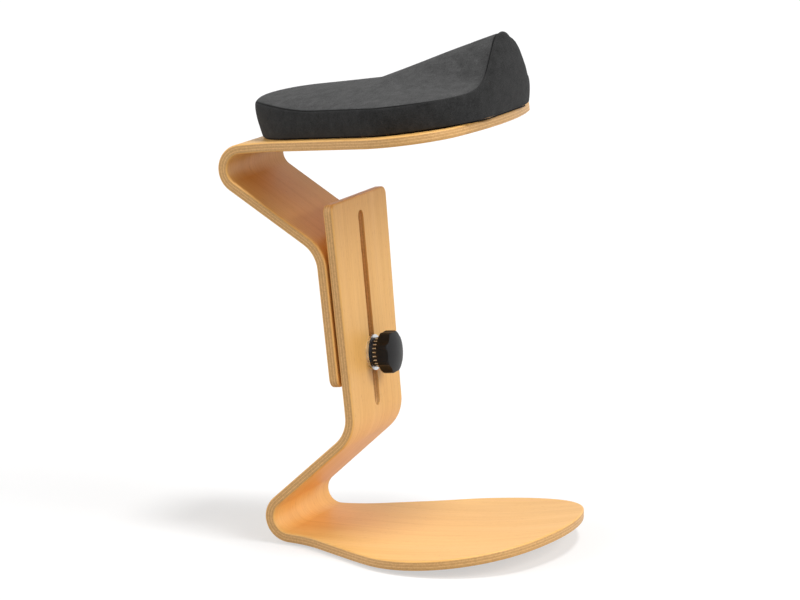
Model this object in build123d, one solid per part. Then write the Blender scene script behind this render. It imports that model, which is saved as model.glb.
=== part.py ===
from build123d import *
import os
from math import asin, atan2, cos, degrees, exp, hypot, radians, sin, sqrt, tan

# Balance stool: two moulded plywood shells, clamped together by one knob, and a saddle cushion.
# Millimetres and degrees. +Z is up, +X runs from the bends to the free ends of the two plates,
# and the stool is symmetrical about Y = 0. Everything is built with the foot's bend at X = 0
# and is centred over the floor when it is written.

# Plywood
ply = 12.0
ply_round = 2.5
bend_radius = 25.0
corner_radius = 45.0
strap_half = 86.0
plate_half = 176.0
flare_least = 30.0

# Foot shell
glide_stand = 3.0
flat_run = 94.0
rocker_radius = 1200.0
base_reach = 338.0
base_neck_ease = 2.0
base_blend_radius = 120.0
base_tip_ease = 80.0
base_corner_radius = 130.0
strut_angle = 42.5
strut_run = 109.0
lean = 5.5
upright_run = 262.0
upright_top_ease = 1.5
waist_draw = 8.0
waist_radius = 300.0
strap_straight = 20.0
top_corner_radius = 10.0

# Slot in the upright, and where the clamp bolt sits in it
slot_start = 1.0
slot_length = 243.0
slot_width = 16.0
bolt_rise = 66.0

# Seat shell
shell_gap = 3.0
tongue_tail = 30.0
tongue_rise = 117.0
tongue_draw = 6.0
tongue_corner_radius = 12.0
seat_strut_angle = 32.0
seat_strut_run = 115.0
seat_slope = 8.0
seat_reach = 317.0
seat_neck = 1.0
seat_blend_radius = 120.0
seat_tip_ease = 304.0
seat_corner_radius = 75.0

# Floor glides
glide_radius = 14.0
glide_recess = 2.0
rear_glide_x = 18.0
rear_glide_inset = 28.0
front_glide_past_flat = 44.0
front_glide_inset = 54.0
glide_screw_radius = 2.0
glide_screw_length = 10.0
glide_head_radius = 4.0
glide_head_height = 2.0

# Clamp
bolt_radius = 5.0
bolt_neck = 10.0
bolt_neck_length = 7.0
bolt_head_radius = 11.0
bolt_head_height = 5.0
bolt_head_round = 4.0
bolt_reach = 24.0
washer_radius = 22.0
washer_thickness = 3.0
collar_radius = 18.0
collar_length = 11.0
stem_radius = 9.0
stem_length = 14.0
knob_radius = 26.5
knob_length = 19.0
knob_crown = 4.0
knob_lobes = 8
scallop_radius = 30.0
scallop_depth = 2.4
knob_edge = 3.0
guide_width = 60.0
guide_height = 36.0
key_length = 30.0
key_setback = 1.5
guide_screw_y = 20.0
guide_screw_radius = 1.75
guide_screw_length = 11.0
guide_head_radius = 3.6
guide_head_height = 1.2
guide_head_sunk = 0.3

# Cushion
dust_cover = 1.5
board = 8.0
cover = 2.0
cushion_start = -7.0
cushion_rear_round = 72.0
cushion_front_round = 110.0
cushion_setback = 5.0
cushion_seam_share = 0.86
cushion_bulge = 9.0
cushion_inset = 22.0
cushion_overhang = 12.0
seam_height = 35.0
rear_crown = 22.0
middle_crown = 22.0
front_crown = 8.0
middle_x = 140.0
horn_start = 130.0
horn_height = 56.0
horn_spread_rear = 72.0
horn_spread_front = 39.0
shoulder_share = 0.75
rear_turns = (15.0, 35.0, 60.0)
middle_shares = (0.0, 0.25, 0.5, 0.75, 1.0)
front_shares = (0.35, 0.6, 0.78)

# Cushion screws
rear_screw_x = 70.0
rear_screw_inset = 44.0
front_screw_setback = 77.0
front_screw_inset = 88.0
screw_radius = 3.0
screw_head_radius = 6.0
screw_head_height = 4.0
screw_end_cover = 1.0
socket_radius = 2.9
socket_depth = 2.4
screw_washer_radius = 9.0
screw_washer_thickness = 1.5
nut_flange_radius = 8.0
nut_flange = 1.5
nut_barrel_radius = 4.0
nut_barrel = 5.0

# Clearances, and the spare length that is trimmed from a strip
running_fit = 0.3
seated_fit = 0.1
slide_fit = 0.1
trim = 20.0


def walk(start, heading, moves, side):
    """Edges of a path of runs and arcs in the XZ plane, shifted to the left of the way by side."""
    x, z = start
    edges = []
    for move in moves:
        left = (-sin(radians(heading)), cos(radians(heading)))
        first = (x + left[0] * side, 0, z + left[1] * side)
        if len(move) == 1:
            run = move[0]
            x += run * cos(radians(heading))
            z += run * sin(radians(heading))
            edges.append(Edge.make_line(first, (x + left[0] * side, 0, z + left[1] * side)))
        else:
            radius, turn = move
            way = 1 if turn > 0 else -1
            centre = (x + left[0] * radius * way, z + left[1] * radius * way)
            reach = radius - way * side
            points = []
            for part in (0.5, 1.0):
                angle = radians(heading + turn * part)
                bow = (way * reach * sin(angle), -way * reach * cos(angle))
                points.append((centre[0] + bow[0], 0, centre[1] + bow[1]))
            heading += turn
            x = centre[0] + way * radius * sin(radians(heading))
            z = centre[1] - way * radius * cos(radians(heading))
            edges.append(Edge.make_three_point_arc(first, points[0], points[1]))
    return edges, (x, z), heading


def strip(start, heading, moves, half_width):
    """A bent sheet: the path thickened by the plywood and drawn out across Y."""
    left, end, last = walk(start, heading, moves, ply / 2)
    right, end, last = walk(start, heading, moves, -ply / 2)
    caps = [Edge.make_line(left[0] @ 0, right[0] @ 0), Edge.make_line(left[-1] @ 1, right[-1] @ 1)]
    return extrude(make_face(left + right + caps), amount=half_width, dir=(0, 1, 0), both=True)


class PlateOutline:
    """A plate's outline: a shallow tip arc, two corner arcs, straight flares and the strap."""

    def __init__(self, neck, strap, blend_radius, tip, half, tip_ease, corner_radius):
        self.strap = strap
        self.tip = tip
        self.tip_radius = half + tip_ease
        self.corner_radius = corner_radius
        self.tip_centre = tip - self.tip_radius
        inner = self.tip_radius - corner_radius
        turn = asin((half - corner_radius) / inner)
        self.corner_centre = (self.tip_centre + inner * cos(turn), half - corner_radius)
        self.corner_start = (self.tip_centre + self.tip_radius * cos(turn), self.tip_radius * sin(turn))
        self.corner_middle = (self.corner_centre[0], half)
        # The blend at the neck leaves a straight flare before the corner
        rise = half - strap
        room = (self.corner_centre[0] - neck) ** 2 + (rise - corner_radius) ** 2 - corner_radius**2
        blend_radius = min(blend_radius, (room - flare_least**2) / (2 * rise))
        self.blend_radius = blend_radius
        blend_centre = (neck, strap + blend_radius)
        across = (self.corner_centre[0] - blend_centre[0], self.corner_centre[1] - blend_centre[1])
        flare = atan2(across[1], across[0]) + asin((blend_radius + corner_radius) / hypot(*across))
        self.slope = tan(flare)
        self.flare_start = (
            self.corner_centre[0] - corner_radius * sin(flare),
            self.corner_centre[1] + corner_radius * cos(flare),
        )
        self.flare_end = (
            blend_centre[0] + blend_radius * sin(flare),
            blend_centre[1] - blend_radius * cos(flare),
        )
        self.strap_end = (neck, strap)

    def half(self, x):
        """Half the plate's width at x."""
        if x > self.corner_start[0]:
            return sqrt(max(self.tip_radius**2 - (x - self.tip_centre) ** 2, 0))
        if x > self.flare_start[0]:
            return self.corner_centre[1] + sqrt(self.corner_radius**2 - (x - self.corner_centre[0]) ** 2)
        if x > self.flare_end[0]:
            return self.flare_end[1] + (x - self.flare_end[0]) * self.slope
        if x > self.strap_end[0]:
            rise = sqrt(self.blend_radius**2 - (x - self.strap_end[0]) ** 2)
            return self.strap + self.blend_radius - rise
        return self.strap

    def face(self, start):
        """The outline as a face in XY that begins at start, across the strap."""
        blend_x = (self.flare_end[0] + self.strap_end[0]) / 2
        blend_middle = (blend_x, self.half(blend_x))
        edges = [Edge.make_line((start, -self.strap), (start, self.strap))]
        for way in (1, -1):
            def at(point):
                return (point[0], way * point[1])

            edges.append(Edge.make_line((start, way * self.strap), at(self.strap_end)))
            edges.append(Edge.make_three_point_arc(at(self.strap_end), at(blend_middle), at(self.flare_end)))
            edges.append(Edge.make_line(at(self.flare_end), at(self.flare_start)))
            corner = (at(self.flare_start), at(self.corner_middle), at(self.corner_start))
            edges.append(Edge.make_three_point_arc(*corner))
        upper = self.corner_start
        edges.append(Edge.make_three_point_arc(upper, (self.tip, 0), (upper[0], -upper[1])))
        return make_face(edges)


def outline_face(half_outline, bend):
    """A face that is the same on both sides of Y = 0, with its inner corners rounded."""
    corners = half_outline + [(-y, z) for y, z in reversed(half_outline)]
    inner = [Vector(y, z, 0) for y, z in half_outline[1:-1]]
    inner += [Vector(-y, z, 0) for y, z in half_outline[1:-1]]
    face = make_face(Polyline(corners, close=True))
    chosen = [v for v in face.vertices() if min((Vector(v) - point).length for point in inner) < 1]
    return fillet(chosen, bend)


def sharp_edges(shell):
    """The edges of a bent sheet's two faces: those where the surface turns sharply."""
    sharp = []
    faces = shell.faces()
    for edge in shell.edges():
        middle = edge.position_at(0.5)
        sides = [face for face in faces if any(edge.is_same(other) for other in face.edges())]
        normals = [face.normal_at(middle) for face in sides]
        if len(normals) == 2 and normals[0].dot(normals[1]) < 0.7:
            sharp.append(edge)
    return sharp


def end_corners(shell, end):
    """The short edges through the plywood at the two corners of a shell's end."""
    through = [edge for edge in shell.edges() if abs(edge.tangent_at(0.5).dot(upright_out)) > 0.99]
    return [edge for edge in through if abs((edge.position_at(0.5) - end).dot(upright_up)) < ply]


from_low = (Align.CENTER, Align.CENTER, Align.MIN)


def disc(plane, radius, low, high):
    """A cylinder on a plane's axis, from low to high above the plane."""
    return plane * Pos(0, 0, low) * Cylinder(radius, high - low, align=from_low)


def slab(plane, along, across, low, high):
    """A block centred on a plane's axis, from low to high above the plane."""
    return plane * Pos(0, 0, low) * Box(along, across, high - low, align=from_low)


# Foot shell: path, bend and upright
bend_outer = bend_radius + ply / 2
bend_height = glide_stand + bend_outer
rocker_turn = degrees(asin((base_reach + trim - flat_run) / rocker_radius))
rocker_rise = rocker_radius * (1 - cos(radians(rocker_turn)))
foot_start = (base_reach + trim, glide_stand + ply / 2 + rocker_rise)
foot_moves = [
    (rocker_radius, -rocker_turn),
    (flat_run,),
    (bend_radius, strut_angle - 180),
    (strut_run,),
    (corner_radius, 90 + lean - strut_angle),
]
upright_foot = walk(foot_start, 180 + rocker_turn, foot_moves, 0)[1]
upright_up = Vector(-sin(radians(lean)), 0, cos(radians(lean)))
upright_out = Vector(cos(radians(lean)), 0, sin(radians(lean)))
front_foot = Vector(upright_foot[0], 0, upright_foot[1]) + upright_out * (ply / 2)
upright_top = front_foot + upright_up * upright_run
wide = 2 * plate_half
foot_strip = strip(foot_start, 180 + rocker_turn, foot_moves + [(upright_run,)], wide)

base_neck = base_neck_ease - (bend_radius - ply / 2)
base_outline = PlateOutline(
    base_neck, strap_half, base_blend_radius, base_reach, plate_half, base_tip_ease, base_corner_radius
)
base_prism = extrude(base_outline.face(-bend_outer - trim), amount=bend_height + rocker_rise)

# The strut and upright narrow to a waist where they meet
waist_height = front_foot.Z
crown_height = upright_top.Z + trim
strap_half_outline = [
    (strap_half, bend_height), (strap_half, bend_height + strap_straight),
    (strap_half - waist_draw, waist_height), (strap_half + upright_top_ease, crown_height),
]
strap_face = outline_face(strap_half_outline, waist_radius)
strap_reach = wide + front_foot.X + trim
strap_prism = extrude(Plane.YZ * Pos(0, 0, -wide) * strap_face, amount=strap_reach)
corner_box = (Align.MIN, Align.CENTER, Align.MIN)
over_bend = Pos(-wide, 0, bend_height) * Box(strap_reach, 2 * wide, wide, align=corner_box)
foot_shell = (foot_strip & (base_prism - over_bend)) + (foot_strip & strap_prism)
foot_shell = fillet(end_corners(foot_shell, upright_top), top_corner_radius)
foot_shell = fillet(sharp_edges(foot_shell), ply_round)

# The slot's middle plane: its origin on the upright's front face at the bolt, its Z outward
bolt_point = front_foot + upright_up * (slot_start + bolt_rise)
clamp = Plane(origin=bolt_point, x_dir=upright_up, z_dir=upright_out)
slot_middle = slot_length / 2 - bolt_rise
slot_shape = clamp * Pos(slot_middle, 0, -2 * ply) * SlotOverall(slot_length, slot_width)
foot_shell = foot_shell - extrude(slot_shape, amount=3 * ply)


def base_rise(x):
    """How far the base's underside has risen at x."""
    if x < flat_run:
        return 0.0
    return rocker_radius - sqrt(rocker_radius**2 - (x - flat_run) ** 2)


rear_glide_y = strap_half - rear_glide_inset
front_glide_x = flat_run + front_glide_past_flat
front_glide_y = plate_half - front_glide_inset
glide_places = {
    "glide_rear_left": (rear_glide_x, rear_glide_y),
    "glide_rear_right": (rear_glide_x, -rear_glide_y),
    "glide_front_left": (front_glide_x, front_glide_y),
    "glide_front_right": (front_glide_x, -front_glide_y),
}
# Floor glides in flat recesses
nodes = {}
glide_screws = []
for name, (glide_x, glide_y) in glide_places.items():
    floor = Plane(origin=(glide_x, glide_y, 0))
    recess_top = glide_stand + glide_recess + base_rise(glide_x)
    head_top = recess_top - glide_head_height
    head_bottom = head_top - glide_head_height
    screw_top = head_top + glide_screw_length
    screw_hole = disc(floor, glide_screw_radius + seated_fit, 0, screw_top)
    foot_shell = foot_shell - disc(floor, glide_radius + running_fit, 0, recess_top) - screw_hole
    head_room = disc(floor, glide_head_radius + seated_fit, 0, head_top)
    nodes[name] = disc(floor, glide_radius, 0, recess_top) - screw_hole - head_room
    shank = disc(floor, glide_screw_radius, head_bottom, screw_top)
    glide_screws.append(shank + disc(floor, glide_head_radius, head_bottom, head_top))

# Seat shell: tongue, strut, bend and seat plate
tongue_middle = -(ply + shell_gap + ply / 2)
tongue_back = tongue_middle - ply / 2
tongue_foot = bolt_point - upright_up * tongue_tail + upright_out * tongue_middle
seat_moves = [
    (tongue_tail + tongue_rise,),
    (corner_radius, 90 - lean - seat_strut_angle),
    (seat_strut_run,),
    (bend_radius, seat_strut_angle + seat_slope - 180),
]
seat_start = (tongue_foot.X, tongue_foot.Z)
seat_bend_end = walk(seat_start, 90 + lean, seat_moves, 0)[1]
seat_along = Vector(cos(radians(seat_slope)), 0, sin(radians(seat_slope)))
seat_up = Vector(-sin(radians(seat_slope)), 0, cos(radians(seat_slope)))
seat_origin = Vector(seat_bend_end[0], 0, seat_bend_end[1]) + seat_up * (ply / 2)
seat_plane = Plane(origin=seat_origin, x_dir=seat_along, z_dir=seat_up)
seat_strip = strip(seat_start, 90 + lean, seat_moves + [(seat_reach + trim,)], wide)

seat_outline = PlateOutline(
    seat_neck, strap_half, seat_blend_radius, seat_reach, plate_half, seat_tip_ease, seat_corner_radius
)
plate_room = extrude(seat_plane * Pos(0, 0, -2 * ply) * seat_outline.face(0), amount=3 * ply)
beyond_bend = seat_plane * Pos(wide, 0, -ply / 2) * Box(2 * wide, 2 * wide, 2 * ply)
tongue_top = tongue_foot + upright_up * (tongue_tail + tongue_rise)
tongue_half_outline = [
    (strap_half - tongue_draw, tongue_foot.Z - trim),
    (strap_half, tongue_top.Z), (strap_half, seat_origin.Z + trim),
]
tongue_face = outline_face(tongue_half_outline, waist_radius)
tongue_prism = extrude(Plane.YZ * Pos(0, 0, -wide) * tongue_face, amount=2 * wide)
seat_shell = (seat_strip & plate_room) + ((seat_strip & tongue_prism) - beyond_bend)
seat_shell = fillet(end_corners(seat_shell, tongue_foot), tongue_corner_radius)
seat_shell = fillet(sharp_edges(seat_shell), ply_round)
neck_hole = bolt_neck + 2 * seated_fit
seat_shell = seat_shell - slab(clamp, neck_hole, neck_hole, tongue_back - ply, -ply)

# Clamp: bolt through tongue and slot, guide between the shells, washer, hub and knob
guide_flange = slab(clamp, guide_height, guide_width, -ply - shell_gap, -ply - slide_fit)
key_shape = clamp * Pos(0, 0, -ply - slide_fit) * SlotOverall(key_length, slot_width - 2 * running_fit)
key = extrude(key_shape, amount=ply + slide_fit - key_setback)
slide_guide = guide_flange + key
slide_guide = slide_guide - disc(clamp, bolt_radius + seated_fit, -2 * ply, ply)
guide_screws = []
head_face = -ply - guide_head_sunk
head_seat = head_face - guide_head_height
guide_screw_end = head_face - guide_screw_length
for screw_y in (guide_screw_y, -guide_screw_y):
    axis = clamp * Pos(0, screw_y, 0)
    shank_hole = disc(axis, guide_screw_radius + seated_fit, guide_screw_end, -ply)
    head_hole = disc(axis, guide_head_radius + seated_fit, head_seat, -ply)
    slide_guide = slide_guide - shank_hole - head_hole
    seat_shell = seat_shell - shank_hole
    shank = disc(axis, guide_screw_radius, guide_screw_end, head_face)
    guide_screws.append(shank + disc(axis, guide_head_radius, head_seat, head_face))

bolt_axis = Axis(bolt_point, upright_out)
bolt_head = disc(clamp, bolt_head_radius, tongue_back - bolt_head_height, tongue_back)
bolt_head = fillet(bolt_head.edges().sort_by(bolt_axis)[0], bolt_head_round)
bolt_neck_block = slab(clamp, bolt_neck, bolt_neck, tongue_back, tongue_back + bolt_neck_length)
clamp_bolt = bolt_head + bolt_neck_block + disc(clamp, bolt_radius, tongue_back, bolt_reach)

bore = disc(clamp, bolt_radius + running_fit, -ply, 2 * bolt_reach)
clamp_washer = disc(clamp, washer_radius, 0, washer_thickness) - bore

collar_face = washer_thickness + collar_length
hub_end = collar_face + stem_length
stem = disc(clamp, stem_radius, collar_face, hub_end)
knob_hub = disc(clamp, collar_radius, washer_thickness, collar_face) + stem - bore

knob_face = collar_face + knob_length
knob_rim = knob_face - knob_crown
dome_radius = (knob_radius**2 + knob_crown**2) / (2 * knob_crown)
dome_turn = asin(knob_radius / dome_radius) / 2
dome_middle = (knob_face - dome_radius * (1 - cos(dome_turn)), dome_radius * sin(dome_turn))
knob_half = make_face([
    Edge.make_line((knob_face, 0), (collar_face, 0)),
    Edge.make_line((collar_face, 0), (collar_face, knob_radius)),
    Edge.make_line((collar_face, knob_radius), (knob_rim, knob_radius)),
    Edge.make_three_point_arc((knob_rim, knob_radius), dome_middle, (knob_face, 0)),
])
knob_half = fillet(knob_half.vertices().sort_by(Axis.Y)[-2:], knob_edge)
axis_plane = Plane(origin=bolt_point, x_dir=upright_out, z_dir=upright_out.cross(Vector(0, 1, 0)))
knob_body = revolve(axis_plane * knob_half, bolt_axis)
for lobe in range(knob_lobes):
    scallop = Rot(0, 0, 360 / knob_lobes * lobe) * Pos(knob_radius + scallop_radius - scallop_depth, 0, 0)
    knob_body = knob_body - disc(clamp * scallop, scallop_radius, 0, 2 * knob_face)
knob_body = knob_body - disc(clamp, stem_radius + seated_fit, 0, hub_end)

# Cushion: vertical sections along the seat plate, from the rounded rear end to the horn
seat_rise = tan(radians(seat_slope))
cushion_seam_x = seat_reach * cos(radians(seat_slope)) - cushion_setback
rear_round_x = cushion_start + cushion_rear_round
front_round_x = cushion_seam_x - cushion_seam_share * cushion_front_round
bulge_x = cushion_seam_x + cushion_bulge


def blend(x, first, last, low, high):
    """A value that goes from low at first to high at last, and stays there."""
    part = min(max((x - first) / (last - first), 0), 1)
    return low + (high - low) * part


def end_share(past, reach):
    """The share of the full width that is left at a distance past the start of a rounded end."""
    return sqrt(max(1 - (max(past, 0) / reach) ** 2, 0))


def cushion_width(x, inset):
    """Half the cushion's width at x, drawn in by inset at the sides and the rear."""
    flare_x = min(x, front_round_x) / cos(radians(seat_slope))
    full = seat_outline.half(flare_x) - cushion_inset + cushion_overhang - inset
    rear_share = end_share(rear_round_x - x, cushion_rear_round - inset)
    return full * rear_share * end_share(x - front_round_x, cushion_front_round)


def horn_spread(x):
    """How far the horn spreads to each side at x."""
    return blend(x, horn_start, cushion_seam_x, horn_spread_rear, horn_spread_front)


def cushion_top(x, y, half):
    """Height of the top panel over the seat plate: the seam, a crown, and the horn at the front."""
    crown = blend(x, rear_round_x, middle_x, rear_crown, middle_crown)
    crown = blend(x, middle_x, cushion_seam_x, crown, front_crown)
    crown = crown * end_share(rear_round_x - x, cushion_rear_round)
    horn = blend(x, horn_start, cushion_seam_x, 0, horn_height)
    drop = max(x - cushion_seam_x, 0)
    return seam_height + crown * (1 - (y / half) ** 2) + horn * exp(-((y / horn_spread(x)) ** 2)) - drop


def cushion_section(x, inside):
    """One section of the cushion, drawn in by the cover where it is inside."""
    half = cushion_width(x, 0)
    plate = seat_origin.Z + x * seat_rise
    shoulder = min(shoulder_share * horn_spread(x), half / 2)

    def at(y, height):
        return Vector(seat_origin.X + x, y, plate + height)

    def over(y):
        return at(y * (half - inside) / half, cushion_top(x, y, half) - inside)

    low = max(cushion_width(x, cushion_overhang) - inside, half / 4)
    rim = over(half)
    belly = at((low + rim.Y) / 2 + cushion_overhang / 4, seam_height / 2)
    foot = at(low, -ply)

    def far(point):
        return Vector(point.X, -point.Y, point.Z)

    flank = over((half + shoulder) / 2)
    edges = [
        Edge.make_line(far(foot), foot),
        Edge.make_three_point_arc(foot, belly, rim),
        Edge.make_three_point_arc(rim, flank, over(shoulder)),
        Edge.make_three_point_arc(over(shoulder), over(0), far(over(shoulder))),
        Edge.make_three_point_arc(far(over(shoulder)), far(flank), far(rim)),
        Edge.make_three_point_arc(far(rim), far(belly), far(foot)),
    ]
    return make_face(edges)


def cushion_form(inside):
    """The whole cushion, or its filling where inside is the cover's thickness."""
    stations = [rear_round_x - cushion_rear_round * cos(radians(turn)) + inside for turn in rear_turns]
    stations += [rear_round_x + (front_round_x - rear_round_x) * share for share in middle_shares]
    stations += [front_round_x + cushion_front_round * share for share in front_shares]
    stations += [cushion_seam_x - inside, bulge_x - inside]
    form = loft([cushion_section(x, inside) for x in stations])
    rear_foot = seat_origin + Vector(cushion_start + cushion_overhang + inside, 0, 0)
    rear_out = Vector(-seam_height, 0, -cushion_overhang)
    rear_plane = Plane(origin=rear_foot, x_dir=(0, 1, 0), z_dir=rear_out)
    behind = slab(rear_plane, 2 * wide, 2 * wide, 0, wide)
    return form - behind - slab(seat_plane, 4 * wide, 2 * wide, -wide, dust_cover)


filling = cushion_form(cover)
cover_all = cushion_form(0) - filling
seam_plane_x = seat_origin.X + cushion_seam_x
before_seam = Pos(seam_plane_x - wide, 0, seat_origin.Z) * Box(2 * wide, 2 * wide, 4 * wide)
above_seam = slab(seat_plane, 4 * wide, 2 * wide, seam_height * cos(radians(seat_slope)), wide) & before_seam
cover_top = cover_all & above_seam
cover_band = cover_all - above_seam
board_top = dust_cover + board
seat_board = filling & slab(seat_plane, 4 * wide, 2 * wide, dust_cover, board_top)
seat_foam = filling - slab(seat_plane, 4 * wide, 2 * wide, -wide, board_top)
board_bottom = seat_board.faces().sort_by(Axis(seat_origin, seat_up))[0]
dust_sheet = extrude(board_bottom, amount=dust_cover, dir=-seat_up)

# Screws from under the seat plate into flanged nuts that are let into the board
flange_bottom = board_top - nut_flange
barrel_bottom = flange_bottom - nut_barrel
head_top = -ply - screw_washer_thickness
rear_screw = (rear_screw_x, strap_half - rear_screw_inset)
front_screw = (seat_reach - front_screw_setback, plate_half - front_screw_inset)
seat_screws = []
seat_screw_washers = []
tee_nuts = []
for screw_x, screw_y in (rear_screw, front_screw):
    for side_y in (screw_y, -screw_y):
        place = seat_plane * Pos(screw_x, side_y, 0)
        clear_hole = disc(place, screw_radius + running_fit, -2 * ply, dust_cover)
        seat_shell = seat_shell - clear_hole
        dust_sheet = dust_sheet - clear_hole
        seat_board = seat_board - disc(place, nut_barrel_radius + seated_fit, 0, board_top)
        seat_board = seat_board - disc(place, nut_flange_radius + seated_fit, flange_bottom, board_top)
        nut = disc(place, nut_flange_radius, flange_bottom, board_top)
        nut = nut + disc(place, nut_barrel_radius, barrel_bottom, flange_bottom)
        tee_nuts.append(nut - disc(place, screw_radius + seated_fit, 0, board_top))
        seat_screw_washers.append(disc(place, screw_washer_radius, head_top, -ply) - clear_hole)
        head_bottom = head_top - screw_head_height
        hexagon = place * Pos(0, 0, head_bottom) * RegularPolygon(socket_radius, 6)
        socket = extrude(hexagon, amount=socket_depth)
        head = disc(place, screw_head_radius, head_bottom, head_top) - socket
        seat_screws.append(head + disc(place, screw_radius, head_top, board_top - screw_end_cover))

nodes["foot_shell"] = foot_shell
nodes["glide_screws"] = Compound(glide_screws)
nodes["seat_shell"] = seat_shell
nodes["seat_board"] = seat_board
nodes["seat_foam"] = seat_foam
nodes["cover_top"] = cover_top
nodes["cover_band"] = cover_band
nodes["dust_cover"] = dust_sheet
nodes["tee_nuts"] = Compound(tee_nuts)
nodes["seat_screws"] = Compound(seat_screws)
nodes["seat_screw_washers"] = Compound(seat_screw_washers)
nodes["clamp_bolt"] = clamp_bolt
nodes["slide_guide"] = slide_guide
nodes["guide_screws"] = Compound(guide_screws)
nodes["clamp_washer"] = clamp_washer
nodes["knob_hub"] = knob_hub
nodes["knob_body"] = knob_body

# Centred over the floor between the seat's bend and the tip of the base
rear_x = seat_shell.bounding_box().min.X
tip_x = foot_shell.bounding_box().max.X
centring = Pos(-(rear_x + tip_x) / 2, 0, 0)
os.makedirs("parts", exist_ok=True)
for name, shape in nodes.items():
    export_step(centring * shape, "parts/" + name + ".step")
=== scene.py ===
import math

import bmesh
import bpy
import numpy as np
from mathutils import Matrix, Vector


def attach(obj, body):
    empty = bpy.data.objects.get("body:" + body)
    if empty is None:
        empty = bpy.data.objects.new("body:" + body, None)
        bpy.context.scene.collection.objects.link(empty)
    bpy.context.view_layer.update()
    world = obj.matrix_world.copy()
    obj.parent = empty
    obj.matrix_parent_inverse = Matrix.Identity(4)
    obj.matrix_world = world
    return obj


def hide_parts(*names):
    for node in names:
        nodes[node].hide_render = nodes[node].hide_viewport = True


# Looks of the balance stool: lacquered beech plywood, a charcoal felt saddle cushion, and the clamp's
# metal and plastic. Lengths are millimetres where a name or comment says so, and metres in the meshes.

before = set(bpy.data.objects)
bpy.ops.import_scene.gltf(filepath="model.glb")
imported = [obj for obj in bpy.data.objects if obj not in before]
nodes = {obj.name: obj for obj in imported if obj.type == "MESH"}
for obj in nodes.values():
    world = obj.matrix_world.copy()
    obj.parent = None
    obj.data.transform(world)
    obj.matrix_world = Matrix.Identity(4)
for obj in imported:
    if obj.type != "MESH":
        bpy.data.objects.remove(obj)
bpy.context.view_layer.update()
scene = bpy.context.scene
MM = 0.001

# The part's source draws the foot's bend at X = 0, and this moves its X to the centred part, in millimetres
CENTRING = -123.537

# Plywood sheet, in millimetres: its thickness and plies, a glue line, and where edge turns to face
PLY, PLIES, GLUE_LINE, EDGE_TURN = 12.0, 7, 0.192, 0.2


def colour(hex_code):
    """An sRGB hex colour as linear RGBA."""
    channels = [int(hex_code[i:i + 2], 16) / 255 for i in (1, 3, 5)]
    linear = [c / 12.92 if c <= 0.04045 else ((c + 0.055) / 1.055) ** 2.4 for c in channels]
    return (*linear, 1.0)


def add(tree, kind, values=None, links=None, stops=None, **settings):
    """A node with its settings, its input values, the sockets that feed it, and a ramp's colour stops."""
    made = tree.nodes.new(kind)
    for key, value in settings.items():
        setattr(made, key, value)
    for key, value in (values or {}).items():
        made.inputs[key].default_value = value
    for key, socket in (links or {}).items():
        tree.links.new(socket, made.inputs[key])
    if stops:
        band = made.color_ramp.elements
        while len(band) < len(stops):
            band.new(0.5)
        for element, (position, hex_code) in zip(band, stops):
            element.position = position
            element.color = colour(hex_code)
    return made


def blank_finish(name):
    """A new material and its empty node tree."""
    material = bpy.data.materials.new(name)
    material.use_nodes = True
    material.node_tree.nodes.clear()
    return material, material.node_tree


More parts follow.
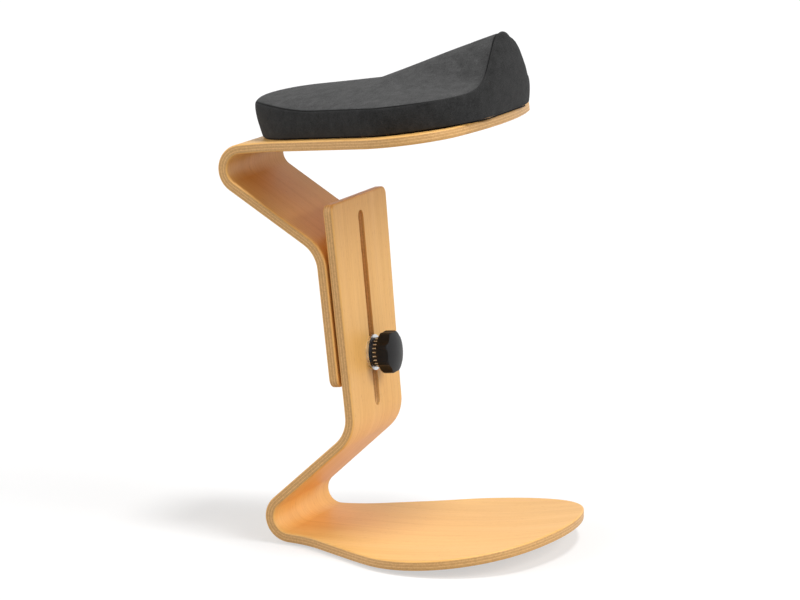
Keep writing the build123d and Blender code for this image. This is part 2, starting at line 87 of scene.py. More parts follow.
def beech_plywood():
    """Lacquered beech plywood: warm even faces with soft stripes along the grain and short flecks,
    crossed plies in fine lines along the edges, and a satin shine."""
    material, tree = blank_finish("beech_plywood")
    place = add(tree, "ShaderNodeAttribute", attribute_name="ply_place").outputs["Vector"]

    def grain(along_mm, across_mm, **values):
        """Noise drawn out along the grain."""
        stretch = add(tree, "ShaderNodeMapping", links={"Vector": place}, values={
            "Scale": (1 / (along_mm * MM), 1 / (across_mm * MM), 1 / (across_mm * MM))})
        noise = add(tree, "ShaderNodeTexNoise", links={"Vector": stretch.outputs["Vector"]},
                    values={"Scale": 1.0, **values})
        return noise.outputs["Fac"]

    stripes = grain(420, 26, Detail=3.0, Roughness=0.5, Distortion=0.25)
    veneer = add(tree, "ShaderNodeValToRGB", links={"Fac": stripes}, stops=[
        (0.28, "#EFB868"), (0.5, "#F3BE6F"), (0.72, "#F6C378")]).outputs["Color"]
    lines = grain(130, 2.2, Detail=4.0, Roughness=0.6)
    line_shade = add(tree, "ShaderNodeValToRGB", links={"Fac": lines}, stops=[
        (0.30, "#F3ECE4"), (0.58, "#FFFFFF")]).outputs["Color"]
    # Beech flecks are 2 to 4 mm long, drawn a little coarser so that they show
    flecks = grain(7, 1.3, Detail=1.0)
    fleck_shade = add(tree, "ShaderNodeValToRGB", links={"Fac": flecks}, stops=[
        (0.66, "#FFFFFF"), (0.76, "#D2A87C")]).outputs["Color"]
    lined = add(tree, "ShaderNodeMix", data_type="RGBA", blend_type="MULTIPLY", values={0: 0.9},
                links={6: veneer, 7: line_shade}).outputs[2]
    face = add(tree, "ShaderNodeMix", data_type="RGBA", blend_type="MULTIPLY", values={0: 0.4},
               links={6: lined, 7: fleck_shade}).outputs[2]

    depth = add(tree, "ShaderNodeSeparateXYZ", links={"Vector": place}).outputs["Z"]
    through = add(tree, "ShaderNodeMapRange", links={"Value": depth}, values={
        "From Min": -PLY / 2 * MM, "From Max": PLY / 2 * MM}).outputs["Result"]
    stops = []
    glue = GLUE_LINE / PLY
    for layer in range(PLIES):
        start = layer / PLIES
        along_grain = layer % 2 == 0
        stops.append((start, "#B98850"))
        stops.append((start + glue, "#EFC080" if along_grain else "#DFAC6C"))
        stops.append((start + 1 / PLIES - glue, "#ECBC7C" if along_grain else "#DBA868"))
    plies = add(tree, "ShaderNodeValToRGB", links={"Fac": through}, stops=stops).outputs["Color"]
    pores = grain(2.4, 2.4, Detail=2.0)
    pore_shade = add(tree, "ShaderNodeValToRGB", links={"Fac": pores}, stops=[
        (0.35, "#DDD3C8"), (0.6, "#FFFFFF")]).outputs["Color"]
    edge = add(tree, "ShaderNodeMix", data_type="RGBA", blend_type="MULTIPLY", values={0: 0.5},
               links={6: plies, 7: pore_shade}).outputs[2]

    from_middle = add(tree, "ShaderNodeMath", operation="ABSOLUTE", links={0: depth}).outputs["Value"]
    outer_ply = PLY / 2 - PLY / PLIES
    on_face = add(tree, "ShaderNodeMapRange", links={"Value": from_middle}, values={
        "From Min": outer_ply * MM, "From Max": (outer_ply + EDGE_TURN) * MM}).outputs["Result"]
    wood = add(tree, "ShaderNodeMix", data_type="RGBA", links={0: on_face, 6: edge, 7: face}).outputs[2]
    relief = add(tree, "ShaderNodeBump", links={"Height": lines},
                 values={"Strength": 0.08, "Distance": 0.2 * MM}).outputs["Normal"]
    shader = add(tree, "ShaderNodeBsdfPrincipled", links={"Base Color": wood, "Normal": relief}, values={
        "Roughness": 0.5, "Coat Weight": 0.08, "Coat Roughness": 0.3, "IOR": 1.45})
    add(tree, "ShaderNodeOutputMaterial", links={"Surface": shader.outputs["BSDF"]})
    return material


def wool_felt(name, light, middle, dark):
    """Charcoal wool felt: no shine, a slight halo at grazing light, mottled matted fibres, and painted
    shade that darkens the felt along its seam."""
    material, tree = blank_finish(name)
    place = add(tree, "ShaderNodeTexCoord").outputs["Object"]
    clouds = add(tree, "ShaderNodeTexNoise", links={"Vector": place}, values={
        "Scale": 1 / (14 * MM), "Detail": 3.0, "Roughness": 0.6}).outputs["Fac"]
    # Matted fibres of about 1 mm, drawn at 2.4 mm so that they show from a step away
    fibres = add(tree, "ShaderNodeTexNoise", links={"Vector": place}, values={
        "Scale": 1 / (2.4 * MM), "Detail": 4.0, "Roughness": 0.75, "Distortion": 1.8}).outputs["Fac"]
    mottle = add(tree, "ShaderNodeMix", values={0: 0.7}, links={2: clouds, 3: fibres}).outputs[0]
    tone = add(tree, "ShaderNodeValToRGB", links={"Fac": mottle}, stops=[
        (0.34, dark), (0.5, middle), (0.68, light)]).outputs["Color"]
    # Painted shade: along the seam the felt is darkened towards near black, standing for the groove's shadow
    sewn = add(tree, "ShaderNodeAttribute", attribute_name="seam_painted_shade").outputs["Fac"]
    painted_seam_shade = add(tree, "ShaderNodeMapRange", links={"Value": sewn}, values={
        "From Min": 0.2, "From Max": 0.75}).outputs["Result"]
    felt = add(tree, "ShaderNodeMix", data_type="RGBA", values={7: colour("#121212")},
               links={0: painted_seam_shade, 6: tone}).outputs[2]
    relief = add(tree, "ShaderNodeBump", links={"Height": fibres},
                 values={"Strength": 0.6, "Distance": 0.8 * MM}).outputs["Normal"]
    shader = add(tree, "ShaderNodeBsdfPrincipled", links={"Base Color": felt, "Normal": relief}, values={
        "Roughness": 1.0, "Sheen Weight": 0.06, "Sheen Roughness": 0.5, "Specular IOR Level": 0.1})
    add(tree, "ShaderNodeOutputMaterial", links={"Surface": shader.outputs["BSDF"]})
    return material


def moulded_plastic(name, dark, light, roughness, grit_mm):
    """Moulded dark plastic: a fine eroded grain that breaks up a dull highlight."""
    material, tree = blank_finish(name)
    place = add(tree, "ShaderNodeTexCoord").outputs["Object"]
    wear = add(tree, "ShaderNodeTexNoise", links={"Vector": place}, values={
        "Scale": 1 / (12 * MM), "Detail": 3.0}).outputs["Fac"]
    tone = add(tree, "ShaderNodeValToRGB", links={"Fac": wear}, stops=[
        (0.35, dark), (0.7, light)]).outputs["Color"]
    dull = add(tree, "ShaderNodeMapRange", links={"Value": wear}, values={
        "To Min": roughness - 0.06, "To Max": roughness + 0.08}).outputs["Result"]
    grit = add(tree, "ShaderNodeTexNoise", links={"Vector": place}, values={
        "Scale": 1 / (grit_mm * MM), "Detail": 2.0}).outputs["Fac"]
    relief = add(tree, "ShaderNodeBump", links={"Height": grit},
                 values={"Strength": 0.25, "Distance": 0.15 * MM}).outputs["Normal"]
    shader = add(tree, "ShaderNodeBsdfPrincipled", values={"IOR": 1.5, "Specular IOR Level": 0.18},
                 links={"Base Color": tone, "Roughness": dull, "Normal": relief})
    add(tree, "ShaderNodeOutputMaterial", links={"Surface": shader.outputs["BSDF"]})
    return material


def plated_steel(name, bright, dull, roughness):
    """Plated steel: clear metal with a faintly cloudy plate and fine turning marks."""
    material, tree = blank_finish(name)
    place = add(tree, "ShaderNodeTexCoord").outputs["Object"]
    clouds = add(tree, "ShaderNodeTexNoise", links={"Vector": place}, values={
        "Scale": 1 / (6 * MM), "Detail": 4.0}).outputs["Fac"]
    tone = add(tree, "ShaderNodeValToRGB", links={"Fac": clouds}, stops=[
        (0.35, dull), (0.65, bright)]).outputs["Color"]
    cloudy = add(tree, "ShaderNodeMapRange", links={"Value": clouds}, values={
        "To Min": roughness - 0.08, "To Max": roughness + 0.1}).outputs["Result"]
    marks = add(tree, "ShaderNodeTexNoise", links={"Vector": place}, values={
        "Scale": 1 / (0.6 * MM), "Detail": 1.0}).outputs["Fac"]
    relief = add(tree, "ShaderNodeBump", links={"Height": marks},
                 values={"Strength": 0.1, "Distance": 0.1 * MM}).outputs["Normal"]
    shader = add(tree, "ShaderNodeBsdfPrincipled", values={"Metallic": 1.0},
                 links={"Base Color": tone, "Roughness": cloudy, "Normal": relief})
    add(tree, "ShaderNodeOutputMaterial", links={"Surface": shader.outputs["BSDF"]})
    return material


def raw_board():
    """Unfinished plywood inside the cushion: dull and pale, with soft stripes along X."""
    material, tree = blank_finish("raw_board")
    place = add(tree, "ShaderNodeTexCoord").outputs["Object"]
    stretch = add(tree, "ShaderNodeMapping", links={"Vector": place}, values={
        "Scale": (1 / (120 * MM), 1 / (4 * MM), 1 / (4 * MM))}).outputs["Vector"]
    stripes = add(tree, "ShaderNodeTexNoise", links={"Vector": stretch}, values={
        "Scale": 1.0, "Detail": 4.0}).outputs["Fac"]
    tone = add(tree, "ShaderNodeValToRGB", links={"Fac": stripes}, stops=[
        (0.3, "#B98F60"), (0.7, "#D8B487")]).outputs["Color"]
    shader = add(tree, "ShaderNodeBsdfPrincipled", links={"Base Color": tone}, values={"Roughness": 0.8})
    add(tree, "ShaderNodeOutputMaterial", links={"Surface": shader.outputs["BSDF"]})
    return material


def lining_cloth():
    """Thin black lining cloth: a dull open weave, drawn at 1.6 mm, which is coarser than real, to show."""
    material, tree = blank_finish("lining_cloth")
    place = add(tree, "ShaderNodeTexCoord").outputs["Object"]
    weave = add(tree, "ShaderNodeTexChecker", links={"Vector": place}, values={
        "Color1": colour("#161616"), "Color2": colour("#262626"), "Scale": 1 / (1.6 * MM)}).outputs["Color"]
    shader = add(tree, "ShaderNodeBsdfPrincipled", links={"Base Color": weave},
                 values={"Roughness": 0.95, "Specular IOR Level": 0.2})
    add(tree, "ShaderNodeOutputMaterial", links={"Surface": shader.outputs["BSDF"]})
    return material


beech = beech_plywood()
felt_top = wool_felt("wool_felt_top", "#5E5E5E", "#4A4A4A", "#353535")
# The band's felt is a darker copy of the top's felt: painted shade for the cushion's sides, which face away
# from the light
shaded_felt_band = wool_felt("wool_felt_band_painted_shade", "#404040", "#323232", "#222222")
knob_black = moulded_plastic("moulded_knob", "#0F0E0F", "#171617", 0.42, 0.5)
nylon_black = moulded_plastic("moulded_nylon", "#1A1A1A", "#262626", 0.6, 0.8)
glide_brown = moulded_plastic("moulded_glide", "#3A332C", "#4A4138", 0.65, 0.8)
zinc = plated_steel("zinc_plated_steel", "#E4E6E8", "#C9CCD0", 0.28)
dark_steel = plated_steel("blackened_steel", "#3C3C3F", "#29292C", 0.45)
worn_steel = plated_steel("worn_steel", "#D2D2D6", "#AEAEB2", 0.3)
board_wood = raw_board()
lining = lining_cloth()

FINISHES = {
    "foot_shell": beech, "seat_shell": beech,
    "glide_rear_left": glide_brown, "glide_rear_right": glide_brown,
    "glide_front_left": glide_brown, "glide_front_right": glide_brown,
    "seat_board": board_wood, "seat_foam": lining, "cover_top": felt_top, "cover_band": shaded_felt_band,
    "dust_cover": lining, "slide_guide": nylon_black, "knob_body": knob_black, "knob_hub": dark_steel,
    "clamp_washer": zinc, "clamp_bolt": zinc, "guide_screws": zinc, "glide_screws": zinc,
    "tee_nuts": zinc, "seat_screws": zinc, "seat_screw_washers": zinc,
}
for node_name, material in FINISHES.items():
    nodes[node_name].data.materials.clear()
    nodes[node_name].data.materials.append(material)


def new_piece(name, mesh, body, slot, *replaced):
    """An object for a finished mesh, riding on a body."""
    piece = bpy.data.objects.new(name, mesh)
    scene.collection.objects.link(piece)
    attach(piece, body)
    if replaced:
        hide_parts(*replaced)
    return piece


def draft(name, mesh):
    """An object to hang modifiers on."""
    made = bpy.data.objects.new(name, mesh)
    scene.collection.objects.link(made)
    return made


def baked(made):
    """The plain mesh of a draft with its modifiers applied; the draft goes."""
    bpy.context.view_layer.update()
    graph = bpy.context.evaluated_depsgraph_get()
    mesh = bpy.data.meshes.new_from_object(made.evaluated_get(graph))
    bpy.data.objects.remove(made)
    return mesh


# Plywood shells: points this close are welded, in millimetres, and a bend this steep is sharp, in degrees
WELD, SHARP = 0.01, 40.0
# A path down the middle of each bent sheet, of runs (millimetres) and arcs (radius, and turn in degrees)
ROCKER, FLAT_RUN, FOOT_END, GLIDE_STAND = 1200.0, 94.0, 358.0, 3.0
rocker_turn = math.asin((FOOT_END - FLAT_RUN) / ROCKER)
foot_end_z = GLIDE_STAND + PLY / 2 + ROCKER * (1 - math.cos(rocker_turn))
FOOT_PATH = ((FOOT_END + CENTRING, foot_end_z), 180 + math.degrees(rocker_turn), (
    (ROCKER, -math.degrees(rocker_turn)), (FLAT_RUN,), (25.0, -137.5), (109.0,), (45.0, 53.0), (262.0,)))
SEAT_PATH = ((59.3875 + CENTRING, 198.9538), 95.5, (
    (147.0,), (45.0, 52.5), (115.0,), (25.0, -140.0), (337.0,)))


def ply_places(points, path):
    """Each point's place in a bent sheet, in metres: along its path, across it, and through its plies."""
    start, heading, moves = np.array(path[0]), math.radians(path[1]), path[2]
    flat = points[:, [0, 2]] / MM
    nearest = np.full(len(points), np.inf)
    along = np.zeros(len(points))
    depth = np.zeros(len(points))
    gone = 0.0
    for move in moves:
        ahead = np.array([math.cos(heading), math.sin(heading)])
        left = np.array([-ahead[1], ahead[0]])
        if len(move) == 1:
            length = move[0]
            run, side = (flat - start) @ ahead, (flat - start) @ left
            start = start + ahead * length
        else:
            radius, turn = move[0], math.radians(move[1])
            way = math.copysign(1, turn)
            length = radius * abs(turn)
            centre = start + left * radius * way
            spoke = flat - centre
            first = math.atan2(*(start - centre)[::-1])
            swept = (np.arctan2(spoke[:, 1], spoke[:, 0]) - first) * way
            run = ((swept + math.pi / 2) % (2 * math.pi) - math.pi / 2) * radius
            side = (radius - np.hypot(*spoke.T)) * way
            heading += turn
            start = centre + radius * way * np.array([math.sin(heading), -math.cos(heading)])
        away = np.hypot(run - np.clip(run, 0, length), side)
        nearer = away < nearest
        nearest[nearer] = away[nearer]
        along[nearer] = gone + run[nearer]
        depth[nearer] = side[nearer]
        gone += length
    return np.column_stack([along * MM, points[:, 1], np.clip(depth, -PLY / 2, PLY / 2) * MM])


def plywood_shell(node_name, path, body):
    """A plywood shell from its CAD solid, smoothly shaded, with each point's place in the plies."""
    mesh = nodes[node_name].data.copy()
    shape = bmesh.new()
    shape.from_mesh(mesh)
    bmesh.ops.remove_doubles(shape, verts=shape.verts, dist=WELD * MM)
    shape.to_mesh(mesh)
    shape.free()
    mesh.polygons.foreach_set("use_smooth", [True] * len(mesh.polygons))
    mesh.set_sharp_from_angle(angle=math.radians(SHARP))
    points = np.zeros(len(mesh.vertices) * 3)
    mesh.vertices.foreach_get("co", points)
    places = ply_places(points.reshape(-1, 3), path)
    attribute = mesh.attributes.new("ply_place", "FLOAT_VECTOR", "POINT")
    attribute.data.foreach_set("vector", places.astype(np.float32).ravel())
    rough = draft(node_name + "_draft", mesh)
    rough.modifiers.new("even", "WEIGHTED_NORMAL").keep_sharp = True
    new_piece(node_name.replace("shell", "plywood"), baked(rough), body, "plywood", node_name)


plywood_shell("foot_shell", FOOT_PATH, "foot")
plywood_shell("seat_shell", SEAT_PATH, "seat")


# Saddle cushion, in millimetres: x along the seat plate from its bend, y across, height over the plate
SEAT_X = -64.2402 + CENTRING
SEAT_Z = 491.966
SLOPE = math.tan(math.radians(8))
# Half of the seat plate: its strap, the blend at its neck, a straight flare and a round corner
STRAP, NECK, BLEND = 86.0, 1.0, 120.0
FLARE_START, FLARE_HALF, FLARE_END, FLARE_SLOPE = 54.0, 98.34, 196.08, 0.49233
CORNER_X, CORNER_Y, CORNER = 229.2, 101.0, 75.0
# The cushion's outline, set in from the plate's edge, with a round rear and a blunt front
OVERHANG = 10.0
REAR, REAR_ROUND = -7.0, 72.0
FRONT_BEND, FRONT_ROUND, FRONT_BLUNT = 214.3, 106.0, 0.7
OUTLINE_POINTS, OUTLINE_SMOOTHINGS = (120, 80, 160), 12
# Heights of the underside and the seam, the seam's lift at the rear, and the crown of the top panel
BOTTOM, SEAM = 1.9, 35.0
REAR_LIFT, LIFT_END = 12.0, 110.0
CROWN, CROWN_EASE, FRONT_CROWN = 22.0, 140.0, 8.0
# The horn: its rise, where it starts, is dished and ends, its half width there, and its steepness
HORN, HORN_START, DISH, HORN_END = 55.5, 147.0, 275.0, 309.0
HORN_SPREADS, HORN_STEEPNESS = (72.0, 36.0, 44.0), 2.2
# How far the seam rolls back from the front edge, how widely, and between which x
ROLL, ROLL_SPREAD, ROLL_START, ROLL_END = 17.0, 80.0, 270.0, 308.0
# The side band: how far its foot is tucked in, where its rear ends and its front begins, how it bulges,
# and how it puffs up over the seam of the horn and on the horn's shoulders
TUCK, REAR_TUCK, FRONT_TUCK = 3.0, 9.5, 0.0
REAR_END, FRONT_START, FRONT_END = 45.0, 235.0, 300.0
SEAM_BULGE, FOOT_BULGE, REAR_BULGE = 2.0, 2.5, 2.0
UPPER_PULL, LOWER_PULL = 0.72, 0.3
PUFF, SHOULDER_PUFF, PUFF_START = 11.0, 90.0, 0.2
# How deep the seam is drawn in, and how far the filled cover may swell, over how many frames
SEAM_DEPTH, SWELL, FILL_FRAMES = 1.2, 2.0, 20
# The mesh: points across and along its edge, half the length of its rear and front edges, and its rings
COLUMNS, ROWS = 62, 72
REAR_SPAN, FRONT_SPAN = 62.0, 112.0
MIDDLE, INSETS = np.array((165.0, 0.0)), (0.984, 0.955, 0.91, 0.85, 0.77)
BAND_ROWS = (0.06, 0.13, 0.22, 0.33, 0.44, 0.55, 0.66, 0.77, 0.87, 0.95, 1.0)


def plate_half(x):
    """Half the seat plate's width at x: strap, blend, straight flare and corner."""
    if x < NECK:
        return STRAP
    if x < FLARE_START:
        return STRAP + BLEND - math.sqrt(BLEND ** 2 - (x - NECK) ** 2)
    if x < FLARE_END:
        return FLARE_HALF + FLARE_SLOPE * (x - FLARE_START)
    return CORNER_Y + math.sqrt(CORNER ** 2 - (x - CORNER_X) ** 2)


def share(x, first, last):
    """How far x is from first to last, from 0 to 1."""
    return np.clip((x - first) / (last - first), 0, 1)


def eased(x, first, last):
    """The same, with a soft start and end."""
    part = share(x, first, last)
    return part * part * (3 - 2 * part)


def half_outline():
    """The cushion's outline on one side, from the middle of its rear to the middle of its front."""
    rear_bend = REAR + REAR_ROUND
    rear_points, side_points, front_points = OUTLINE_POINTS
    points = []
    for turn in np.linspace(0, math.pi / 2, rear_points, endpoint=False):
        x = rear_bend - REAR_ROUND * math.cos(turn)
        points.append((x, (plate_half(x) - OVERHANG) * math.sin(turn)))
    for x in np.linspace(rear_bend, FRONT_BEND, side_points, endpoint=False):
        points.append((x, plate_half(x) - OVERHANG))
    widest = plate_half(FRONT_BEND) - OVERHANG
    for turn in np.linspace(0, math.pi / 2, front_points):
        x = FRONT_BEND + FRONT_ROUND * math.sin(turn)
        points.append((x, widest * max(math.cos(turn), 0) ** FRONT_BLUNT))
    points = np.array(points)
    for _ in range(OUTLINE_SMOOTHINGS):
        points[1:-1] = (points[:-2] + 2 * points[1:-1] + points[2:]) / 4
    points[-1, 1] = 0
    return points


def top_height(x, y, outline):
    """Height of the top panel: the seam, which is higher at the rear, a crown over it, and the horn,
    a ridge that narrows as it rises and spreads to a lip at the front."""
    half = np.maximum(np.interp(x, outline[:, 0], outline[:, 1]), 1.0)
    level = SEAM + REAR_LIFT * (1 - eased(x, REAR, LIFT_END))
    rounding = np.sqrt(1 - (1 - share(x, REAR, REAR + REAR_ROUND)) ** 2)
    middle = SEAM + REAR_LIFT + (CROWN - REAR_LIFT) * rounding
    crown = (middle - level) * (1 - (1 - FRONT_CROWN / CROWN) * share(x, CROWN_EASE, HORN_END))
    horn = HORN * share(x, HORN_START, HORN_END)
    spread = np.interp(x, (HORN_START, DISH, HORN_END), HORN_SPREADS)
    dome = 1 - np.clip(np.abs(y) / half, 0, 1) ** 2
    return level + crown * dome + horn * np.exp(-(np.abs(y) / spread) ** HORN_STEEPNESS)


def spanned(ring):
    """A grid of plan points spanned by a ring of its edge points, rear edge first."""
    rear = ring[:COLUMNS + 1]
    right = ring[COLUMNS:COLUMNS + ROWS + 1]
    front = ring[COLUMNS + ROWS:2 * COLUMNS + ROWS + 1][::-1]
    left = np.vstack([ring[2 * COLUMNS + ROWS:], ring[:1]])[::-1]
    u, v = np.linspace(0, 1, COLUMNS + 1)[None, :, None], np.linspace(0, 1, ROWS + 1)[:, None, None]
    corners = (1 - v) * ((1 - u) * rear[0] + u * rear[-1]) + v * ((1 - u) * front[0] + u * front[-1])
    return (1 - v) * rear[None] + v * front[None] + (1 - u) * left[:, None] + u * right[:, None] - corners


def edge_ring(outline):
    """The cushion's outline as the ring of a grid's edge, and its outward directions."""
    loop = np.vstack([outline, (outline * [1, -1])[-2::-1]])
    run = np.concatenate([[0], np.cumsum(np.hypot(*np.diff(loop, axis=0).T))])
    total, middle = run[-1], run[-1] / 2
    side = middle - REAR_SPAN - FRONT_SPAN
    across = np.linspace(0, 1, COLUMNS, endpoint=False)
    along = np.linspace(0, 1, ROWS, endpoint=False)
    lengths = np.concatenate([
        (2 * across - 1) * REAR_SPAN,
        REAR_SPAN + along * side,
        middle + (2 * across - 1) * FRONT_SPAN,
        middle + FRONT_SPAN + along * side,
    ]) % total
    ring = np.column_stack([np.interp(lengths, run, loop[:, 0]), np.interp(lengths, run, loop[:, 1])])
    ahead = np.roll(ring, -1, axis=0) - np.roll(ring, 1, axis=0)
    ahead /= np.hypot(*ahead.T)[:, None]
    return ring, np.column_stack([-ahead[:, 1], ahead[:, 0]])


def band_rings(ring, out, seam, seam_height):
    """The side band's rings from the seam to the underside: it leans in at the rear, stands nearly
    upright elsewhere, and rolls over to the seam at the front."""
    front = eased(ring[:, :1], FRONT_START, FRONT_END)
    rear = 1 - eased(ring[:, :1], REAR, REAR_END)
    horn = share(seam_height, SEAM, SEAM + HORN) * front
    roll = np.hypot(*(ring - seam).T)[:, None]
    puff = eased(horn, 0, PUFF_START) * (PUFF + SHOULDER_PUFF * horn * (1 - horn))
    foot = ring - out * (TUCK + (REAR_TUCK - TUCK) * rear + (FRONT_TUCK - TUCK) * front)
    start = np.hstack([seam, seam_height])
    upper = np.hstack([seam + out * (roll + SEAM_BULGE * (1 - front)),
                       seam_height * (UPPER_PULL + (1 - UPPER_PULL) * front) + puff])
    lower = np.hstack([foot + out * (FOOT_BULGE + REAR_BULGE * rear),
                       BOTTOM + seam_height * LOWER_PULL * (1 + front)])
    end = np.hstack([foot, np.full_like(seam_height, BOTTOM)])
    return [(1 - t) ** 3 * start + 3 * (1 - t) ** 2 * t * upper + 3 * (1 - t) * t ** 2 * lower + t ** 3 * end
            for t in BAND_ROWS]


def quads(grid):
    """The faces of a grid of point numbers."""
    return np.stack([grid[:-1, :-1], grid[1:, :-1], grid[1:, 1:], grid[:-1, 1:]], axis=-1).reshape(-1, 4)


def cap_numbers(edge, first):
    """The point numbers of a grid whose edge is a ring, and whose inner points are counted from first."""
    grid = np.zeros((ROWS + 1, COLUMNS + 1), int)
    grid[1:-1, 1:-1] = first + np.arange((ROWS - 1) * (COLUMNS - 1)).reshape(ROWS - 1, COLUMNS - 1)
    grid[0, :-1] = edge[:COLUMNS]
    grid[:-1, -1] = edge[COLUMNS:COLUMNS + ROWS]
    grid[-1, :0:-1] = edge[COLUMNS + ROWS:2 * COLUMNS + ROWS]
    grid[:0:-1, 0] = edge[2 * COLUMNS + ROWS:]
    return grid


def cushion_mesh():
    """The cushion as one closed mesh: rings run from the middle of the top panel out to the seam, down
    the side band and in to the middle of the underside. Also the points of its seam, and those that are
    held on the board."""
    outline = half_outline()
    ring, out = edge_ring(outline)
    rolled = np.exp(-(ring[:, 1:] / ROLL_SPREAD) ** 2) * eased(ring[:, :1], ROLL_START, ROLL_END)
    seam = ring - out * ROLL * rolled

    def on_top(plan):
        return np.column_stack([plan, top_height(plan[:, 0], plan[:, 1], outline)])

    def underneath(plan):
        return np.column_stack([plan, np.full(len(plan), BOTTOM)])

    top = [on_top(MIDDLE + (seam - MIDDLE) * part) for part in (*INSETS[::-1], 1.0)]
    band = band_rings(ring, out, seam, top[-1][:, 2:])
    foot = band[-1][:, :2]
    under = [underneath(MIDDLE + (foot - MIDDLE) * part) for part in INSETS]
    rings = [*top, *band, *under]
    caps = [on_top(spanned(top[0][:, :2])[1:-1, 1:-1].reshape(-1, 2)),
            underneath(spanned(under[-1][:, :2])[1:-1, 1:-1].reshape(-1, 2))]
    points = np.vstack([*rings, *caps])

    numbers = np.arange(len(rings) * len(ring)).reshape(len(rings), len(ring))
    top_cap = cap_numbers(numbers[0], numbers.size)
    under_cap = cap_numbers(numbers[-1], numbers.size + len(caps[0]))
    walls = quads(np.column_stack([numbers, numbers[:, 0]]))
    faces = np.vstack([quads(top_cap), walls, quads(under_cap)])
    top_faces = len(quads(top_cap)) + len(INSETS) * len(ring)
    seam_numbers = numbers[len(INSETS)]
    held = np.concatenate([numbers[len(top) + len(band) - 2:].ravel(), under_cap.ravel()])

    along, across, height = points.T
    world = np.column_stack([SEAT_X + along, across, SEAT_Z + along * SLOPE + height])
    mesh = bpy.data.meshes.new("saddle_cushion")
    mesh.from_pydata((world * MM).tolist(), [], faces.tolist())
    mesh.materials.append(felt_top)
    mesh.materials.append(shaded_felt_band)
    mesh.polygons.foreach_set("material_index", [0] * top_faces + [1] * (len(faces) - top_faces))
    mesh.polygons.foreach_set("use_smooth", [True] * len(faces))
    # The seam's points, along which the felt material paints shade
    sewn = np.zeros(len(points))
    sewn[seam_numbers] = 1
    mesh.attributes.new("seam_painted_shade", "FLOAT", "POINT").data.foreach_set("value", sewn)
    shape = bmesh.new()
    shape.from_mesh(mesh)
    bmesh.ops.recalc_face_normals(shape, faces=shape.faces)
    shape.to_mesh(mesh)
    shape.free()
    return mesh, seam_numbers.tolist(), np.unique(held).tolist()


def fill_cover(rough, seam, held):
    """Fill the cover: cloth under light pressure, held at its seam and on its board."""
    sewn = rough.vertex_groups.new(name="sewn")
    sewn.add(held + seam, 1.0, "REPLACE")
    cloth = rough.modifiers.new("fill", "CLOTH")
    cloth.settings.quality = 6
    cloth.settings.mass = 0.3
    cloth.settings.tension_stiffness = 18
    cloth.settings.compression_stiffness = 18
    cloth.settings.shear_stiffness = 8
    cloth.settings.bending_stiffness = 2
    cloth.settings.use_pressure = True
    cloth.settings.uniform_pressure_force = 4
    cloth.settings.vertex_group_mass = "sewn"
    cloth.settings.effector_weights.gravity = 0
    cloth.collision_settings.use_collision = False
    cloth.collision_settings.use_self_collision = False
    cloth.point_cache.frame_start = 1
    cloth.point_cache.frame_end = FILL_FRAMES
    for number in range(1, FILL_FRAMES + 1):
        scene.frame_set(number)
    graph = bpy.context.evaluated_depsgraph_get()
    before = np.array([v.co for v in rough.data.vertices])
    moved = np.array([v.co for v in rough.evaluated_get(graph).data.vertices]) - before
    rough.modifiers.remove(cloth)
    scene.frame_set(1)
    far = np.maximum(np.linalg.norm(moved, axis=1, keepdims=True), 1e-9)
    most = SWELL * MM
    rough.data.vertices.foreach_set("co", (before + moved / far * most * np.tanh(far / most)).ravel())
    rough.data.update()


def saddle_cushion():
    """The felt cushion: filled, its seam drawn in, then smoothed."""
    mesh, seam, held = cushion_mesh()
    rough = draft("saddle_draft", mesh)
    fill_cover(rough, seam, held)
    drawn_in = {i: mesh.vertices[i].normal * SEAM_DEPTH * MM for i in seam}
    for i, step in drawn_in.items():
        mesh.vertices[i].co -= step
    smooth = rough.modifiers.new("smooth", "SUBSURF")
    smooth.levels = smooth.render_levels = 1
    piece = new_piece("saddle_cushion", baked(rough), "seat", "felt_top",
                      "cover_top", "cover_band", "seat_foam")


saddle_cushion()


# Clamp hub, in millimetres: a row of teeth round its collar, worn bright, on the bolt's leaning axis
LEAN = math.radians(5.5)
BOLT = Vector((77.4155 + CENTRING, 0, 230.828))
CLAMP_OUT = Vector((math.cos(LEAN), 0, math.sin(LEAN)))
TEETH, TOOTH_WIDTH, TOOTH_LENGTH = 22, 2.2, 4.4
TEETH_RADIUS, TEETH_OUT = 17.3, 9.0


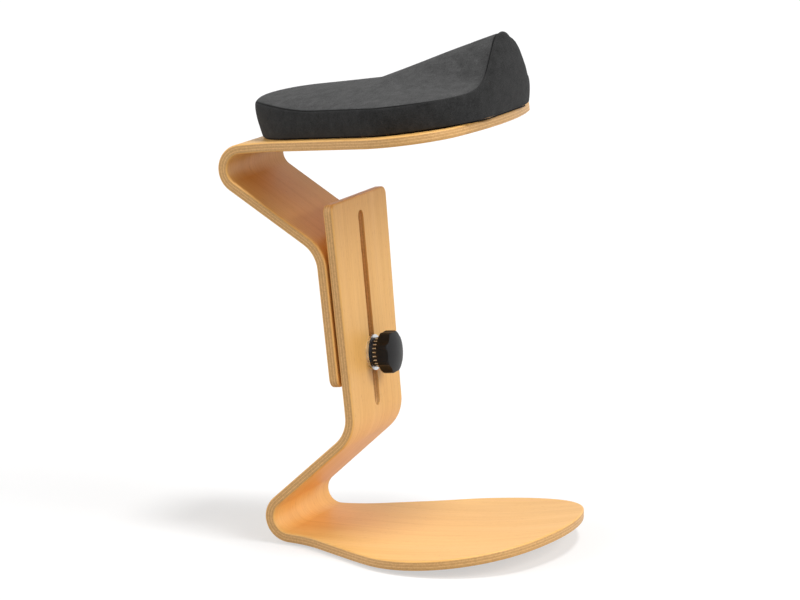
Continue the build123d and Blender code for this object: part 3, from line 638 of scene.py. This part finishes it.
def teeth_tree():
    """Geometry nodes: ridges in a ring on a collar, each with an edge outward, turned to the clamp's axis."""
    tree = bpy.data.node_groups.new("collar_teeth", "GeometryNodeTree")
    inputs = {}
    for name, kind in (("Teeth", "NodeSocketInt"), ("Radius", "NodeSocketFloat"),
                       ("Width", "NodeSocketFloat"), ("Length", "NodeSocketFloat"),
                       ("Place", "NodeSocketVector"), ("Turn", "NodeSocketVector")):
        inputs[name] = tree.interface.new_socket(name, in_out="INPUT", socket_type=kind).identifier
    tree.interface.new_socket("Geometry", in_out="OUTPUT", socket_type="NodeSocketGeometry")
    given = add(tree, "NodeGroupInput").outputs
    ring = add(tree, "GeometryNodeMeshCircle", fill_type="NONE", links={
        "Vertices": given["Teeth"], "Radius": given["Radius"]})
    size = add(tree, "ShaderNodeCombineXYZ", links={
        "X": given["Width"], "Y": given["Width"], "Z": given["Length"]})
    block = add(tree, "GeometryNodeMeshCube", links={"Size": size.outputs["Vector"]})
    ridge = add(tree, "GeometryNodeTransform", links={"Geometry": block.outputs["Mesh"]},
                values={"Rotation": (0, 0, math.pi / 4)})
    place = add(tree, "GeometryNodeInputPosition").outputs["Position"]
    aim = add(tree, "FunctionNodeAlignRotationToVector", axis="X", pivot_axis="Z", links={"Vector": place})
    spread = add(tree, "GeometryNodeInstanceOnPoints", links={
        "Points": ring.outputs["Mesh"], "Instance": ridge.outputs["Geometry"],
        "Rotation": aim.outputs["Rotation"]})
    turned = add(tree, "GeometryNodeTransform", links={
        "Geometry": spread.outputs["Instances"], "Translation": given["Place"], "Rotation": given["Turn"]})
    joined = add(tree, "GeometryNodeRealizeInstances", links={"Geometry": turned.outputs["Geometry"]})
    coated = add(tree, "GeometryNodeSetMaterial", links={"Geometry": joined.outputs["Geometry"]},
                 values={"Material": worn_steel})
    add(tree, "NodeGroupOutput", links={"Geometry": coated.outputs["Geometry"]})
    return tree, inputs


def hub_teeth():
    """The hub's toothed collar, which turns with the knob."""
    tree, inputs = teeth_tree()
    rough = draft("teeth_draft", bpy.data.meshes.new("teeth_draft"))
    made = rough.modifiers.new("teeth", "NODES")
    made.node_group = tree
    middle = (BOLT + CLAMP_OUT * TEETH_OUT) * MM
    for name, value in (("Teeth", TEETH), ("Radius", TEETH_RADIUS * MM), ("Width", TOOTH_WIDTH * MM),
                        ("Length", TOOTH_LENGTH * MM), ("Place", tuple(middle)),
                        ("Turn", (0, math.pi / 2 - LEAN, 0))):
        made[inputs[name]] = value
    new_piece("hub_teeth", baked(rough), "knob", "hub_steel")


hub_teeth()


# Studio: the floor's reach in metres, what its glow adds for the camera, and the room's light and look
FLOOR_REACH, FLOOR_GLOW = 30.0, 0.55
ROOM_LIGHT, ROOM_SEEN = 0.24, 1.0
# Camera: how far round from the side and how far up, in degrees, its place in metres, and its lens
ROUND_BY, UP_BY = 22.0, 10.5
CAMERA_PLACE = (1.6994, -4.2325, 1.14445)
LENS, SENSOR = 171.0, 36.0


def direct_rays(tree):
    """1 for what the camera sees, straight or by a shine or through a clear piece, and 0 for other light."""
    path = add(tree, "ShaderNodeLightPath").outputs
    mirrored = add(tree, "ShaderNodeMath", operation="MAXIMUM", links={
        0: path["Is Camera Ray"], 1: path["Is Glossy Ray"]})
    return add(tree, "ShaderNodeMath", operation="MAXIMUM", links={
        0: mirrored.outputs["Value"], 1: path["Is Transmission Ray"]}).outputs["Value"]


def pale_floor():
    """A plain pale floor that keeps the stool's soft shadow, and is white to the camera elsewhere."""
    mesh = bpy.data.meshes.new("floor")
    corners = [(x * FLOOR_REACH, y * FLOOR_REACH, 0) for x, y in ((-1, -1), (1, -1), (1, 1), (-1, 1))]
    mesh.from_pydata(corners, [], [(0, 1, 2, 3)])
    floor = draft("floor", mesh)
    material, tree = blank_finish("pale_floor")
    matt = add(tree, "ShaderNodeBsdfPrincipled", values={
        "Base Color": colour("#B4B4B4"), "Roughness": 1.0, "Specular IOR Level": 0.0})
    seen = add(tree, "ShaderNodeMapRange", links={"Value": direct_rays(tree)}, values={"To Max": FLOOR_GLOW})
    glow = add(tree, "ShaderNodeEmission", values={"Color": (1, 1, 1, 1)},
               links={"Strength": seen.outputs["Result"]})
    both = add(tree, "ShaderNodeAddShader", links={0: matt.outputs["BSDF"], 1: glow.outputs["Emission"]})
    add(tree, "ShaderNodeOutputMaterial", links={"Surface": both.outputs["Shader"]})
    mesh.materials.append(material)


def lamp(name, towards, width, strength):
    """A wide soft lamp far away, in a direction seen from the stool."""
    light = bpy.data.lights.new(name, "SUN")
    light.energy = strength
    light.angle = math.radians(width)
    made = bpy.data.objects.new(name, light)
    scene.collection.objects.link(made)
    made.rotation_euler = (-Vector(towards)).to_track_quat("-Z", "Y").to_euler()


def studio():
    """A white room: soft light all round, a lamp overhead, one on the right and a weaker one on the left."""
    world = bpy.data.worlds.new("studio")
    scene.world = world
    world.use_nodes = True
    tree = world.node_tree
    tree.nodes.clear()
    seen = add(tree, "ShaderNodeMapRange", links={"Value": direct_rays(tree)},
               values={"To Min": ROOM_LIGHT, "To Max": ROOM_SEEN})
    sky = add(tree, "ShaderNodeBackground", values={"Color": (1, 1, 1, 1)},
              links={"Strength": seen.outputs["Result"]})
    add(tree, "ShaderNodeOutputWorld", links={"Surface": sky.outputs["Background"]})
    lamp("over", (0.27, -0.08, 0.96), 12, 1.4)
    lamp("right", (0.82, -0.12, 0.56), 35, 1.7)
    lamp("left", (-0.76, -0.5, 0.41), 60, 1.3)


def photo_camera():
    """The photograph's view, from about 4.6 m away."""
    camera = bpy.data.cameras.new("camera")
    camera.sensor_width = SENSOR
    camera.lens = LENS
    made = bpy.data.objects.new("camera", camera)
    scene.collection.objects.link(made)
    round_by, up_by = math.radians(ROUND_BY), math.radians(UP_BY)
    level = math.cos(up_by)
    ahead = Vector((-math.sin(round_by) * level, math.cos(round_by) * level, -math.sin(up_by)))
    made.location = CAMERA_PLACE
    made.rotation_euler = ahead.to_track_quat("-Z", "Y").to_euler()
    scene.camera = made


pale_floor()
studio()
photo_camera()
scene.view_settings.view_transform = "Standard"
